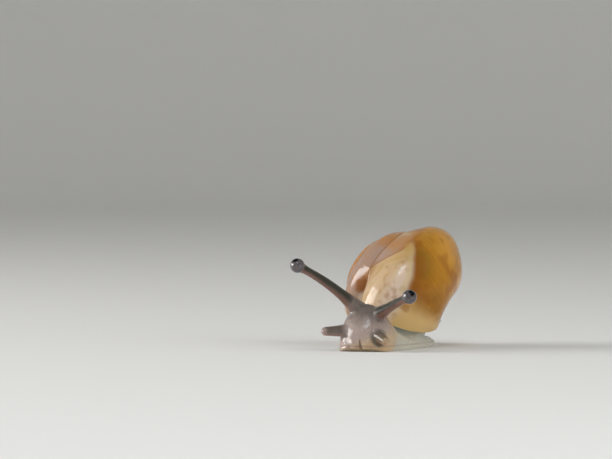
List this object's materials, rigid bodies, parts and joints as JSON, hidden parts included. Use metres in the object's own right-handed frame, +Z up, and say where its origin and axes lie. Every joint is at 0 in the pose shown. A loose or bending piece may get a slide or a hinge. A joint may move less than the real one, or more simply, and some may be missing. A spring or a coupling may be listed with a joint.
{
  "type": "grove snail",
  "caption": "Young grove snail at life size, crawling with its feelers held out, under a thin amber spiral shell.",
  "frame": {"origin": "on the floor under the middle of the whole animal, feelers included", "axes": "+Z up, the head points to -Y, the snail's own left side is +X"},
  "size_m": [0.0065, 0.0134, 0.006],
  "materials": {
    "shell_amber": "thin glossy see-through horn",
    "skin_grey": "wet pebbled skin",
    "foot_cream": "wet smooth skin",
    "eye_dark": "wet glossy bulb"
  },
  "bodies": {
    "root": {"shell": "shell_amber", "mantle": "foot_cream", "head": "skin_grey", "neck": "skin_grey", "foot": "foot_cream", "tail": "foot_cream", "upper_feeler_left": "skin_grey", "upper_feeler_right": "skin_grey", "lower_feeler_left": "skin_grey", "lower_feeler_right": "skin_grey", "eye_left": "eye_dark", "eye_right": "eye_dark"}
  },
  "joints": []
}
